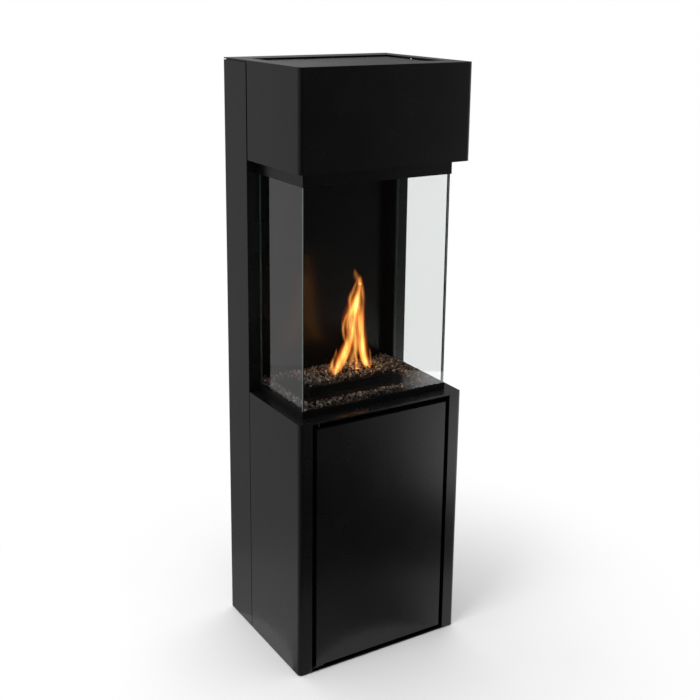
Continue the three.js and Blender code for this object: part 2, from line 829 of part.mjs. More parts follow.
// ------------------------------------------------------------------ door
const doorInnerX = doorX - sheet;
const doorSkinBack = frontY + sheet;
const doorSheetY = [doorRear - sheet, doorRear];
piece('door_panel', casingPaint, cut(
  box([-doorX, doorX], [frontY, doorRear], [doorFoot, doorHead]),
  box([-doorInnerX, doorInnerX], [doorSkinBack, doorRear + overlap], [doorFoot + sheet, doorHead - sheet]),
  pivotHoles,
));
piece('door_inner_sheet', framePaint, box(
  [-doorInnerX + fit, doorInnerX - fit],
  doorSheetY,
  [doorFoot + sheet + fit, doorHead - sheet - fit],
));
const stiffenerX = stiffenerWidth / 2;
const stiffenerZ = [doorFoot + stiffenerEndGap, doorHead - stiffenerEndGap];
piece('door_stiffener', darkSteel, cut(
  box([-stiffenerX, stiffenerX], [doorSkinBack, doorSheetY[0]], stiffenerZ),
  box(
    [-stiffenerX + sheet, stiffenerX - sheet],
    [doorSkinBack - overlap, doorSheetY[0] - sheet],
    [stiffenerZ[0] - overlap, stiffenerZ[1] + overlap],
  ),
));
const blockX = [-doorInnerX + fit, -doorInnerX + fit + pivotBlockWidth];
const blockY = [doorSkinBack, doorSheetY[0]];
const topBlockZ = [doorHead - sheet - pivotBlockHeight, doorHead - sheet];
const lowBlockZ = [doorFoot + sheet, doorFoot + sheet + pivotBlockHeight];
piece('door_pivot_top', zincSteel, join(
  box(blockX, blockY, topBlockZ),
  rod(pivotRadius, 'z', [topBlockZ[0] + fit, bracketTopZ[1] - fit], pivotPlace),
));
piece('door_pivot_bottom', zincSteel, join(
  box(blockX, blockY, lowBlockZ),
  rod(pivotRadius, 'z', [bracketLowZ[0] + fit, lowBlockZ[1] - fit], pivotPlace),
));

const latchPlace = [latchX, latchCentreZ];
const latchFront = stopRear;
piece('push_latch', blackPlastic, cut(
  box(
    [latchX - latchSideWall, jambX - sheet],
    [latchFront, latchFront + latchLength],
    [latchCentreZ - latchHeight / 2, latchCentreZ + latchHeight / 2],
  ),
  rod(plungerRadius + fit, 'y', [latchFront - overlap, latchFront + plungerBore], latchPlace),
));
piece('latch_plunger', blackPlastic, rod(
  plungerRadius,
  'y',
  [doorRear + fit, latchFront + plungerBore - plungerBack - fit],
  latchPlace,
));

// ------------------------------------------------------------------ fuel tank, cap, pump and hose
const tankTop = shelfTop + tankHeight;
const neckPlace = [neckX, neckY];
const neckTop = tankTop + neckHeight;
piece('fuel_tank', tankPlastic, cut(
  join(
    box([-tankX, tankX], [tankFront, tankRear], [shelfTop, tankTop]),
    rod(neckRadius, 'z', [tankTop - overlap, neckTop], neckPlace, roundSides),
  ),
  box(
    [-tankX + tankWall, tankX - tankWall],
    [tankFront + tankWall, tankRear - tankWall],
    [shelfTop + tankWall, tankTop - tankWall],
  ),
  rod(neckBore, 'z', [tankTop - tankWall - overlap, neckTop + overlap], neckPlace, roundSides),
));
const capInner = neckRadius + 2 * fit;
const capOuter = capInner + capWall;
const capRoof = neckTop + fit;
const capProfile = [
  [0, capRoof],
  [capInner, capRoof],
  [capInner, capRoof - capSkirt],
  [capOuter, capRoof - capSkirt],
  [capOuter, capRoof + capWall],
  [0, capRoof + capWall],
];
const capGeometry = new THREE.LatheGeometry(capProfile.map(([r, z]) => new THREE.Vector2(r, z)), roundSides);
piece('tank_cap', redPlastic, toGeometry(toSolid(
  capGeometry.rotateX(Math.PI / 2).translate(neckX, neckY, 0),
)));

const pumpX = [tankX + pumpGap, tankX + pumpGap + pumpWidth];
const pumpMiddleX = (pumpX[0] + pumpX[1]) / 2;
const pumpY = [troughMiddle - pumpWidth / 2, troughMiddle + pumpWidth / 2];
const pumpTop = shelfTop + pumpHeight;
const pumpOutletTop = pumpTop + pumpOutletHeight;
piece('fuel_pump', blackPlastic, join(
  box(pumpX, pumpY, [shelfTop, pumpTop]),
  rod(pumpPipeRadius, 'x', [tankX + fit, pumpX[0] + overlap], [troughMiddle, shelfTop + pumpPipeLift]),
  rod(pumpPipeRadius, 'z', [pumpTop - overlap, pumpOutletTop], [pumpMiddleX, troughMiddle]),
));

const hoseFoot = pumpOutletTop + fit;
const hoseHead = troughBottom - inletLength - fit;
const hosePath = new THREE.CubicBezierCurve3(
  new THREE.Vector3(pumpMiddleX, troughMiddle, hoseFoot),
  new THREE.Vector3(pumpMiddleX, troughMiddle, hoseFoot + hoseReach),
  new THREE.Vector3(inletX, troughMiddle, hoseHead - hoseReach),
  new THREE.Vector3(inletX, troughMiddle, hoseHead),
);
const hoseSection = new THREE.Shape();
for (let i = 0; i < hoseSides; i += 1) {
  const angle = 2 * Math.PI * i / hoseSides;
  const place = [hoseRadius * Math.cos(angle), hoseRadius * Math.sin(angle)];
  if (i === 0) {
    hoseSection.moveTo(...place);
  } else {
    hoseSection.lineTo(...place);
  }
}
piece('fuel_hose', sealRubber, new THREE.ExtrudeGeometry(hoseSection, {
  steps: hoseSteps,
  extrudePath: hosePath,
}));

// ------------------------------------------------------------------ control box, switch and button
const controlX = [controlLeft, controlLeft + controlWidth];
const controlY = [cabinetBackY[0] - controlDepth, cabinetBackY[0]];
const controlZ = [controlFoot, controlFoot + controlHeight];
const controlMiddle = controlFoot + controlHeight / 2;
const switchX = controlLeft + switchOffset;
const switchRecessX = [switchX - switchWidth / 2 - switchGap, switchX + switchWidth / 2 + switchGap];
const switchRecessHalf = switchHeight / 2 + 2 * switchGap;
const buttonPlace = [controlLeft + buttonOffset, controlMiddle];
piece('control_box', blackPlastic, cut(
  box(controlX, controlY, controlZ),
  box(
    switchRecessX,
    [controlY[0] - overlap, controlY[0] + switchRecess],
    [controlMiddle - switchRecessHalf, controlMiddle + switchRecessHalf],
  ),
  rod(buttonRadius + fit, 'y', [controlY[0] - overlap, controlY[0] + switchRecess], buttonPlace, roundSides),
));
const rocker = piece('power_switch', redPlastic, join(
  box(
    [-switchWidth / 2, switchWidth / 2],
    [-switchProud, switchDepth - switchProud],
    [-switchHeight / 2, switchHeight / 2],
  ),
  rod(trunnionRadius, 'x', [-switchWidth / 2 - switchGap + fit, switchWidth / 2 + switchGap - fit], [0, 0]),
));
const switchAxisY = controlY[0] + trunnionRadius + switchGap;
rocker.position.set(switchX, switchAxisY, controlMiddle);
rocker.rotation.x = THREE.MathUtils.degToRad(-switchTilt);
piece('start_button', blackPlastic, rod(
  buttonRadius,
  'y',
  [controlY[0] - buttonProud, controlY[0] - buttonProud + buttonLength],
  buttonPlace,
  roundSides,
));

export default fireplace;
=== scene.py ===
import json
import math

import bmesh
import bpy
import numpy as np
from mathutils import Matrix, Vector


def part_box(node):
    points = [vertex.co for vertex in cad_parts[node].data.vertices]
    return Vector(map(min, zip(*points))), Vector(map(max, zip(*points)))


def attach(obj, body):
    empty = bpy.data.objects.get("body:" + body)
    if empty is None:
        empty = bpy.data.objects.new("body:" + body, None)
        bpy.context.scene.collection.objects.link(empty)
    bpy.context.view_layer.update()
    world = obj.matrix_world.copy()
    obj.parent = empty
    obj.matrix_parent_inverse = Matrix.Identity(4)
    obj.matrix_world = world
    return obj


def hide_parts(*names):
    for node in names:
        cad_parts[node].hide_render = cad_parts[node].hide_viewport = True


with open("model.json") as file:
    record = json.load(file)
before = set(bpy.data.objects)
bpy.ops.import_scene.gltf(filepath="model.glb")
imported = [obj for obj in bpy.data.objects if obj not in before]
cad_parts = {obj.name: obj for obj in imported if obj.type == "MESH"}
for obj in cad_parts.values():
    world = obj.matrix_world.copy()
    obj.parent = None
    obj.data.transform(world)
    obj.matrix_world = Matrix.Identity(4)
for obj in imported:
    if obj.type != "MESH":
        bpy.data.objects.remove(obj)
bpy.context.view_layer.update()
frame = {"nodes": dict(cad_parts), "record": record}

MM = 0.001
scene = bpy.context.scene
scene.view_settings.view_transform = "Standard"


# ---------------------------------------------------------------- camera
CAMERA_PLACE = Vector((-1.5036, -2.4661, 1.7709))
CAMERA_AZIMUTH = math.radians(-31.22)
CAMERA_ELEVATION = math.radians(13.981)
CAMERA_ROLL = math.radians(0.553)
FOCAL_PIXELS = 1116.57
IMAGE_PIXELS = 700
OPTICAL_CENTRE = (341.90, 262.13)
SENSOR = 36.0


def make_camera():
    back = Vector((
        math.sin(CAMERA_AZIMUTH) * math.cos(CAMERA_ELEVATION),
        -math.cos(CAMERA_AZIMUTH) * math.cos(CAMERA_ELEVATION),
        math.sin(CAMERA_ELEVATION),
    ))
    level_right = (-back).cross(Vector((0, 0, 1))).normalized()
    level_up = level_right.cross(-back)
    right = level_right * math.cos(CAMERA_ROLL) + level_up * math.sin(CAMERA_ROLL)
    up = level_up * math.cos(CAMERA_ROLL) - level_right * math.sin(CAMERA_ROLL)
    data = bpy.data.cameras.new("camera")
    data.sensor_width = SENSOR
    data.lens = FOCAL_PIXELS * SENSOR / IMAGE_PIXELS
    data.shift_x = (IMAGE_PIXELS / 2 - OPTICAL_CENTRE[0]) / IMAGE_PIXELS
    data.shift_y = -(IMAGE_PIXELS / 2 - OPTICAL_CENTRE[1]) / IMAGE_PIXELS
    camera = bpy.data.objects.new("camera", data)
    camera.matrix_world = Matrix.Translation(CAMERA_PLACE) @ Matrix((right, up, back)).transposed().to_4x4()
    scene.collection.objects.link(camera)
    scene.camera = camera


make_camera()


# ---------------------------------------------------------------- node helpers
def new_material(name):
    material = bpy.data.materials.new(name)
    material.use_nodes = True
    material.node_tree.nodes.clear()
    return material, material.node_tree


def add(tree, kind, **settings):
    node = tree.nodes.new(kind)
    for key, value in settings.items():
        setattr(node, key, value)
    return node


def math_node(tree, operation, first, second=None, clamp=False):
    node = add(tree, "ShaderNodeMath", operation=operation, use_clamp=clamp)
    for socket, value in zip(node.inputs, (first, second)):
        if value is None:
            continue
        if isinstance(value, (int, float)):
            socket.default_value = value
        else:
            tree.links.new(value, socket)
    return node.outputs[0]


def ramp(tree, factor, stops):
    node = add(tree, "ShaderNodeValToRGB")
    elements = node.color_ramp.elements
    while len(elements) < len(stops):
        elements.new(0.5)
    for element, (place, colour) in zip(elements, stops):
        element.position = place
        element.color = (*colour, 1)
    tree.links.new(factor, node.inputs[0])
    return node.outputs[0]


def noise(tree, scale, detail=3.0, stretch=None):
    place = add(tree, "ShaderNodeTexCoord").outputs["Object"]
    if stretch:
        mapping = add(tree, "ShaderNodeMapping")
        mapping.inputs["Scale"].default_value = stretch
        tree.links.new(place, mapping.inputs["Vector"])
        place = mapping.outputs[0]
    node = add(tree, "ShaderNodeTexNoise")
    node.inputs["Scale"].default_value = scale
    node.inputs["Detail"].default_value = detail
    tree.links.new(place, node.inputs["Vector"])
    return node.outputs["Fac"]


def mix_colour(tree, factor, first, second):
    node = add(tree, "ShaderNodeMix", data_type="RGBA")
    for socket, value in ((node.inputs[0], factor), (node.inputs[6], first), (node.inputs[7], second)):
        if isinstance(value, tuple):
            socket.default_value = (*value, 1)
        elif isinstance(value, (int, float)):
            socket.default_value = value
        else:
            tree.links.new(value, socket)
    return node.outputs[2]


def bump(tree, height, distance):
    node = add(tree, "ShaderNodeBump")
    node.inputs["Distance"].default_value = distance
    tree.links.new(height, node.inputs["Height"])
    return node.outputs[0]


def finish_surface(tree, shader):
    output = add(tree, "ShaderNodeOutputMaterial")
    tree.links.new(shader, output.inputs["Surface"])


def coated(name, dark, light, roughness, grain=900.0, relief=0.00002, specular=0.5, metallic=0.0):
    """A surface of two close colours, a roughness that varies a little, and a fine relief."""
    material, tree = new_material(name)
    shader = add(tree, "ShaderNodeBsdfPrincipled")
    shader.inputs["Specular IOR Level"].default_value = specular
    shader.inputs["Metallic"].default_value = metallic
    cloud = noise(tree, 9.0, 4.0)
    tree.links.new(mix_colour(tree, cloud, dark, light), shader.inputs["Base Color"])
    spread = math_node(tree, "MULTIPLY_ADD", cloud, 0.08)
    spread.node.inputs[2].default_value = roughness - 0.04
    tree.links.new(spread, shader.inputs["Roughness"])
    tree.links.new(bump(tree, noise(tree, grain, 2.0), relief), shader.inputs["Normal"])
    finish_surface(tree, shader.outputs[0])
    return material


# ---------------------------------------------------------------- materials
CASING_PAINT = coated("casing_paint", (0.0024, 0.0024, 0.0026), (0.0036, 0.0036, 0.0039), 0.27, specular=0.42)
FRAME_PAINT = coated("frame_paint", (0.0020, 0.0020, 0.0022), (0.0030, 0.0030, 0.0033), 0.28, specular=0.38)
INNER_STEEL = coated("inner_steel", (0.0012, 0.0012, 0.0014), (0.0020, 0.0020, 0.0022), 0.24, specular=0.30)
DECK_PAINT = coated("deck_paint", (0.0020, 0.0020, 0.0024), (0.0030, 0.0030, 0.0034), 0.16, relief=0.00001)
ZINC_STEEL = coated("zinc_steel", (0.42, 0.43, 0.45), (0.55, 0.56, 0.57), 0.34, grain=400.0, metallic=1.0)
SEAL_RUBBER = coated(
    "seal_rubber", (0.010, 0.010, 0.010), (0.016, 0.016, 0.016), 0.75, grain=700.0, relief=0.00005,
)
CERAMIC = coated(
    "ceramic", (0.55, 0.52, 0.46), (0.70, 0.67, 0.61), 0.9, grain=350.0, relief=0.0004, specular=0.2,
)
TANK_PLASTIC = coated("tank_plastic", (0.60, 0.60, 0.56), (0.68, 0.68, 0.64), 0.45, relief=0.00003)
BLACK_PLASTIC = coated("black_plastic", (0.012, 0.012, 0.013), (0.020, 0.020, 0.021), 0.5, relief=0.00006)
RED_PLASTIC = coated("red_plastic", (0.32, 0.018, 0.012), (0.42, 0.028, 0.018), 0.42, relief=0.00003)


def make_glass(name, edge_axis, outer_edge_and_painted_highlight):
    """Clear pane: a mirror by Fresnel for both faces on the nearer one, with green ground edges; the colour
    given for the edges seen from outside may be lightened as a painted highlight.
    """
    material, tree = new_material(name)
    geometry = add(tree, "ShaderNodeNewGeometry")
    clear = add(tree, "ShaderNodeBsdfTransparent")
    clear.inputs[0].default_value = (0.985, 0.992, 0.988, 1)
    gloss = add(tree, "ShaderNodeBsdfPrincipled")
    gloss.inputs["Base Color"].default_value = (1, 1, 1, 1)
    gloss.inputs["Metallic"].default_value = 1.0
    gloss.inputs["Roughness"].default_value = 0.015
    fresnel = add(tree, "ShaderNodeFresnel")
    fresnel.inputs["IOR"].default_value = 1.5
    outward = math_node(tree, "SUBTRACT", 1.0, geometry.outputs["Backfacing"])
    two_faces = math_node(tree, "DIVIDE", math_node(tree, "MULTIPLY", fresnel.outputs[0], 2.0),
                          math_node(tree, "ADD", fresnel.outputs[0], 1.0))
    share = math_node(tree, "MULTIPLY", two_faces, outward, clamp=True)
    pane = add(tree, "ShaderNodeMixShader")
    tree.links.new(share, pane.inputs[0])
    tree.links.new(clear.outputs[0], pane.inputs[1])
    tree.links.new(gloss.outputs[0], pane.inputs[2])
    edge = add(tree, "ShaderNodeBsdfPrincipled")
    cloud = noise(tree, 60.0, 3.0)
    edge.inputs["Roughness"].default_value = 0.2
    parts = add(tree, "ShaderNodeSeparateXYZ")
    tree.links.new(geometry.outputs["True Normal"], parts.inputs[0])
    across = math_node(tree, "ABSOLUTE", parts.outputs[edge_axis])
    is_edge = math_node(tree, "LESS_THAN", across, 0.9)
    # Edges seen from outside take the given colour; on the front pane it is lightened as a painted highlight.
    outside_with_painted_highlight = mix_colour(tree, cloud, outer_edge_and_painted_highlight, tuple(1.6 * value for value in outer_edge_and_painted_highlight))
    inside = mix_colour(tree, cloud, (0.010, 0.022, 0.018), (0.022, 0.044, 0.036))
    tree.links.new(mix_colour(tree, outward, inside, outside_with_painted_highlight), edge.inputs["Base Color"])
    whole = add(tree, "ShaderNodeMixShader")
    tree.links.new(is_edge, whole.inputs[0])
    tree.links.new(pane.outputs[0], whole.inputs[1])
    tree.links.new(edge.outputs[0], whole.inputs[2])
    finish_surface(tree, whole.outputs[0])
    return material


def make_pebble_material():
    """Each pebble has its own tone, with fine speckles."""
    material, tree = new_material("pebbles")
    shader = add(tree, "ShaderNodeBsdfPrincipled")
    geometry = add(tree, "ShaderNodeNewGeometry")
    tones = ramp(tree, geometry.outputs["Random Per Island"], [
        (0.0, (0.010, 0.008, 0.007)),
        (0.20, (0.024, 0.018, 0.014)),
        (0.40, (0.050, 0.038, 0.030)),
        (0.55, (0.044, 0.040, 0.037)),
        (0.70, (0.080, 0.054, 0.045)),
        (0.84, (0.115, 0.094, 0.075)),
        (0.95, (0.220, 0.195, 0.165)),
    ])
    speckle = noise(tree, 700.0, 5.0)
    lit = mix_colour(tree, math_node(tree, "MULTIPLY", speckle, 0.5), tones, (0.034, 0.024, 0.018))
    tree.links.new(lit, shader.inputs["Base Color"])
    shader.inputs["Roughness"].default_value = 0.38
    tree.links.new(bump(tree, noise(tree, 420.0, 4.0), 0.0006), shader.inputs["Normal"])
    finish_surface(tree, shader.outputs[0])
    return material


# The front pane's outer edge colour is lightened as a painted highlight; the side pane's keeps the plain dark
# green of ground glass.
FRONT_GLASS = make_glass("front_glass", 1, (0.070, 0.088, 0.080))
SIDE_GLASS = make_glass("side_glass", 0, (0.012, 0.024, 0.020))
PEBBLES = make_pebble_material()

FINISH = {
    "casing_paint": CASING_PAINT,
    "frame_paint": FRAME_PAINT,
    "inner_steel": INNER_STEEL,
    "deck_paint": DECK_PAINT,
    "zinc_steel": ZINC_STEEL,
    "seal_rubber": SEAL_RUBBER,
    "clear_glass": SIDE_GLASS,
    "ceramic": CERAMIC,
    "pebbles": PEBBLES,
    "tank_plastic": TANK_PLASTIC,
    "black_plastic": BLACK_PLASTIC,
    "red_plastic": RED_PLASTIC,
}
SHEET_BEVEL = 0.95 * MM
GLASS_BEVEL = 0.5 * MM
HINGE_PINS = ("door_pivot_top", "door_pivot_bottom")


def soften(piece, width, segments=2):
    modifier = piece.modifiers.new("soft edges", "BEVEL")
    modifier.width = width
    modifier.segments = segments
    modifier.limit_method = "ANGLE"
    modifier.angle_limit = math.radians(50)
    modifier.use_clamp_overlap = True


def dress_cad_nodes():
    for entry in frame["record"]["subparts"]:
        node = frame["nodes"][entry["node"]]
        node.data.materials.clear()
        node.data.materials.append(FINISH[entry["material_slot"]])
        if entry["material_slot"] == "clear_glass":
            soften(node, GLASS_BEVEL)
        elif entry["material_slot"] != "pebbles" and entry["node"] not in HINGE_PINS:
            soften(node, SHEET_BEVEL)
    frame["nodes"]["front_pane"].data.materials[0] = FRONT_GLASS
    for name in HINGE_PINS:
        frame["nodes"][name].data.materials[0] = INNER_STEEL


dress_cad_nodes()


# ---------------------------------------------------------------- pebbles
PEBBLE_RADIUS = (2.8 * MM, 5.4 * MM)
PEBBLE_DENTS = 3
DENT_DEPTH = 0.12
BED_DROPS = 3200
HEAP_DROPS = 1700
rng = np.random.default_rng(7)


def unit_pebble():
    mesh = bmesh.new()
    bmesh.ops.create_icosphere(mesh, subdivisions=1, radius=1.0)
    points = np.array([v.co[:] for v in mesh.verts])
    faces = np.array([[v.index for v in f.verts] for f in mesh.faces])
    mesh.free()
    return points, faces


PEBBLE_POINTS, PEBBLE_FACES = unit_pebble()


def random_turn():
    w, x, y, z = rng.normal(size=4)
    length = math.sqrt(w * w + x * x + y * y + z * z)
    w, x, y, z = w / length, x / length, y / length, z / length
    return np.array([
        [1 - 2 * (y * y + z * z), 2 * (x * y - z * w), 2 * (x * z + y * w)],
        [2 * (x * y + z * w), 1 - 2 * (x * x + z * z), 2 * (y * z - x * w)],
        [2 * (x * z - y * w), 2 * (y * z + x * w), 1 - 2 * (x * x + y * y)],
    ])


def pebble_points(radius):
    """One broken stone: a flattened ball of a few facets, dented by waves."""
    stretch = np.array([rng.uniform(0.95, 1.30), rng.uniform(0.80, 1.05), rng.uniform(0.62, 0.88)])
    points = PEBBLE_POINTS * stretch
    for _ in range(PEBBLE_DENTS):
        direction = rng.normal(size=3)
        direction /= np.linalg.norm(direction)
        wave = np.sin(points @ direction * rng.uniform(1.5, 3.0) + rng.uniform(0, 6.28))
        points = points * (1 + DENT_DEPTH * wave)[:, None]
    return points @ random_turn().T * radius


def pour(areas, floor, limit, count):
    """Drops stones one by one at random places of the areas, each on those that lie there already."""
    weights = np.array([(x1 - x0) * (y1 - y0) for (x0, x1), (y0, y1) in areas])
    placed = []
    for _ in range(count):
        (x0, x1), (y0, y1) = areas[rng.choice(len(areas), p=weights / weights.sum())]
        radius = rng.uniform(*PEBBLE_RADIUS)
        inset = radius * 1.15
        if x1 - x0 < 2 * inset or y1 - y0 < 2 * inset:
            continue
        x = rng.uniform(x0 + inset, x1 - inset)
        y = rng.uniform(y0 + inset, y1 - inset)
        z = floor + radius * 0.72
        if placed:
            others = np.array(placed)
            flat = np.hypot(others[:, 0] - x, others[:, 1] - y)
            reach = (others[:, 3] + radius) * 0.86
            near = flat < reach
            if near.any():
                rise = np.sqrt(reach[near] ** 2 - flat[near] ** 2) * 0.82
                z = max(z, float((others[near, 2] + rise).max()))
        if z + radius > limit:
            continue
        placed.append((x, y, z, radius))
    return placed


def pebble_object(name, areas, floor, limit, count, nodes):
    stones = pour(areas, floor, limit, count)
    points = np.concatenate([pebble_points(r) + np.array([x, y, z]) for x, y, z, r in stones])
    faces = np.concatenate([PEBBLE_FACES + i * len(PEBBLE_POINTS) for i in range(len(stones))])
    points[:, 2] = np.maximum(points[:, 2], floor)
    mesh = bpy.data.meshes.new(name)
    mesh.from_pydata(points.tolist(), [], faces.tolist())
    mesh.materials.append(PEBBLES)
    piece = bpy.data.objects.new(name, mesh)
    scene.collection.objects.link(piece)
    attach(piece, "casing")
    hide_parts(*nodes)
    return piece


bed_low, bed_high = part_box("pebble_bed")
deck_low, deck_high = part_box("burner_deck")
heap_low, heap_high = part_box("pebble_heap")
BED_RISE = 26 * MM
HEAP_RISE = 17 * MM
FLAME_LINE = -28 * MM
FLAME_SLOT = 8 * MM
SLOT_HALF = 82 * MM

bed_areas = [
    ((bed_low.x, deck_low.x), (bed_low.y, bed_high.y)),
    ((deck_high.x, bed_high.x), (bed_low.y, bed_high.y)),
    ((deck_low.x, deck_high.x), (bed_low.y, deck_low.y)),
    ((deck_low.x, deck_high.x), (deck_high.y, bed_high.y)),
]
heap_areas = [
    ((heap_low.x, heap_high.x), (heap_low.y, FLAME_LINE - FLAME_SLOT)),
    ((heap_low.x, heap_high.x), (FLAME_LINE + FLAME_SLOT, heap_high.y)),
    ((heap_low.x, -SLOT_HALF), (heap_low.y, heap_high.y)),
    ((SLOT_HALF, heap_high.x), (heap_low.y, heap_high.y)),
]
pebble_object("bed_pebbles", bed_areas, bed_low.z, bed_low.z + BED_RISE, BED_DROPS, ["pebble_bed"])
pebble_object("heap_pebbles", heap_areas, heap_low.z, heap_low.z + HEAP_RISE, HEAP_DROPS, ["pebble_heap"])


# ---------------------------------------------------------------- flame
# Each tongue is a line of (x, z, half width) in millimetres, from its foot to its tip.
TONGUES = {
    "left_strand": [(-43, 753, 4.0), (-36, 772, 11.0), (-24, 797, 13.0), (-14, 822, 11.5), (-7, 844, 8.0),
                    (-5, 865, 5.0), (-7, 885, 4.0), (-5, 904, 4.0), (1, 920, 5.0), (7, 936, 4.5),
                    (12, 950, 3.5), (17, 968, 0.5)],
    "main_strand": [(-10, 808, 1.0), (0, 832, 4.5), (8, 856, 5.0), (14, 880, 5.5), (17, 904, 8.0),
                    (19, 927, 11.5), (23, 950, 11.0), (27, 973, 8.5), (30, 992, 6.5), (32, 1008, 4.5),
                    (33, 1020, 0.5)],
    "right_strand": [(68, 752, 4.0), (58, 764, 9.5), (49, 786, 10.0), (42, 815, 10.0), (38, 844, 10.0),
                     (36, 872, 9.5), (35, 899, 9.0), (34, 926, 7.0), (33, 950, 4.5), (33, 972, 0.5)],
    "right_edge": [(45, 840, 0.5), (44, 868, 3.0), (43, 900, 5.0), (41, 930, 6.5), (40, 960, 6.5),
                   (37, 988, 4.5), (35, 1008, 0.5)],
    "left_wave": [(-15, 832, 1.5), (-20, 852, 4.0), (-22, 874, 4.5), (-19, 896, 5.0), (-12, 912, 4.5),
                  (-4, 926, 3.0), (1, 938, 0.5)],
    "upper_wave": [(2, 926, 1.5), (-2, 945, 4.5), (-1, 962, 6.0), (5, 976, 6.0), (11, 990, 4.5),
                   (17, 1002, 3.0), (22, 1014, 0.5)],
    "middle_veil": [(22, 800, 2.0), (20, 826, 9.0), (15, 858, 15.0), (11, 892, 18.0), (14, 922, 16.0),
                    (20, 948, 12.0), (26, 975, 0.5)],
    "lower_veil": [(8, 762, 4.0), (16, 785, 12.0), (24, 812, 12.0), (26, 838, 9.0), (24, 862, 0.5)],
    "left_inner": [(-30, 755, 5.0), (-17, 778, 6.5), (-5, 804, 7.0), (3, 830, 6.0), (8, 856, 4.5),
                   (10, 882, 0.5)],
    "right_inner": [(58, 752, 2.0), (46, 772, 4.5), (36, 798, 4.0), (30, 826, 3.5), (27, 856, 3.0),
                    (26, 886, 0.5)],
    "tip": [(31, 994, 6.0), (26, 1006, 8.5), (21, 1018, 7.5), (18, 1029, 5.0), (16, 1040, 0.5)],
    "small_left": [(-56, 764, 4.0), (-51, 780, 6.0), (-45, 797, 4.5), (-41, 812, 3.0), (-39, 827, 0.5)],
    "small_centre": [(26, 757, 7.0), (25, 770, 7.0), (21, 786, 4.5), (17, 800, 2.5), (14, 812, 0.5)],
    "small_right": [(70, 760, 3.0), (67, 782, 3.0), (64, 800, 2.5), (60, 816, 0.5)],
    "foot_glow": [(-40, 744, 3.0), (-43, 753, 8.5), (-46, 762, 10.5), (-50, 774, 7.0), (-53, 786, 0.5)],
}
# Where each tongue burns from front to rear, in millimetres, and how dense it is.
TONGUE_PLACE = {
    "left_strand": (-31, 0.62),
    "main_strand": (-26, 0.66),
    "right_strand": (-27, 0.66),
    "right_edge": (-27, 0.30),
    "left_wave": (-33, 0.45),
    "upper_wave": (-31, 0.40),
    "middle_veil": (-22, 0.26),
    "lower_veil": (-22, 0.14),
    "left_inner": (-27, 0.45),
    "right_inner": (-27, 0.45),
    "tip": (-27, 0.17),
    "small_left": (-24, 0.42),
    "small_centre": (-33, 0.55),
    "small_right": (-31, 0.35),
    "foot_glow": (-28, 0.30),
}
# The shells of a tongue from the outermost in: its width against the tongue's, its glow per metre and colour.
FLAME_SHELLS = [
    (1.70, 9.0, (1.0, 0.14, 0.012)),
    (1.25, 27.0, (1.0, 0.24, 0.030)),
    (0.90, 66.0, (1.0, 0.44, 0.085)),
    (0.55, 125.0, (1.0, 0.58, 0.16)),
]
FLAME_THICKNESS = 0.7
FLAME_RINGS = 40
FLAME_SIDES = 18


def flame_material(name, glow, colour):
    """A glowing gas in upright wisps, with no surface of its own."""
    material, tree = new_material(name)
    wisps = noise(tree, 95.0, 2.0, stretch=(1.0, 1.0, 0.16))
    streaks = math_node(tree, "MULTIPLY_ADD", wisps, 4.0)
    streaks.node.inputs[2].default_value = -1.0
    fire = add(tree, "ShaderNodeEmission")
    fire.inputs["Color"].default_value = (*colour, 1)
    density = math_node(tree, "MAXIMUM", streaks, 0.15)
    tree.links.new(math_node(tree, "MULTIPLY", density, glow), fire.inputs["Strength"])
    output = add(tree, "ShaderNodeOutputMaterial")
    tree.links.new(fire.outputs[0], output.inputs["Volume"])
    return material


def smooth_line(points, count):
    """A Catmull-Rom curve through the points, sampled evenly by parameter."""
    rows = np.array(points, float)
    rows = np.vstack([2 * rows[0] - rows[1], rows, 2 * rows[-1] - rows[-2]])
    samples = []
    for t in np.linspace(0, len(points) - 1, count):
        i = min(int(t), len(points) - 2)
        u = t - i
        a, b, c, d = rows[i:i + 4]
        samples.append(0.5 * (2 * b + (c - a) * u + (2 * a - 5 * b + 4 * c - d) * u * u
                              + (3 * b - a - 3 * c + d) * u ** 3))
    return np.array(samples)


def flame_shell(name, line, centre_y, scale, material):
    samples = smooth_line(line, FLAME_RINGS)
    height = samples[-1, 1] - samples[0, 1]
    points = []
    for x, z, half in samples:
        half = max(half, 0.3) * scale
        low = z if z < samples[0, 1] + height * 0.6 else samples[0, 1] + height * 0.6 \
            + (z - samples[0, 1] - height * 0.6) * min(1.0, 0.55 + 0.45 * scale)
        sway = 2.5 * math.sin(z / 23.0)
        for i in range(FLAME_SIDES):
            angle = 2 * math.pi * i / FLAME_SIDES
            points.append((
                (x + half * math.cos(angle)) * MM,
                (centre_y + sway + half * FLAME_THICKNESS * math.sin(angle)) * MM,
                low * MM,
            ))
    faces = []
    for ring in range(FLAME_RINGS - 1):
        for i in range(FLAME_SIDES):
            j = (i + 1) % FLAME_SIDES
            a = ring * FLAME_SIDES
            faces.append((a + i, a + j, a + FLAME_SIDES + j, a + FLAME_SIDES + i))
    faces.append(tuple(reversed(range(FLAME_SIDES))))
    faces.append(tuple(range((FLAME_RINGS - 1) * FLAME_SIDES, FLAME_RINGS * FLAME_SIDES)))
    mesh = bpy.data.meshes.new(name)
    mesh.from_pydata(points, [], faces)
    mesh.polygons.foreach_set("use_smooth", [True] * len(faces))
    mesh.materials.append(material)
    piece = bpy.data.objects.new(name, mesh)
    scene.collection.objects.link(piece)
    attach(piece, "casing")
    piece.visible_shadow = False
    return piece


def make_flame():
    for level, (scale, glow, colour) in enumerate(FLAME_SHELLS):
        for tongue, line in TONGUES.items():
            centre_y, density = TONGUE_PLACE[tongue]
            name = f"flame_{tongue}_{level}"
            flame_shell(name, line, centre_y, scale, flame_material(name, glow * density, colour))


make_flame()


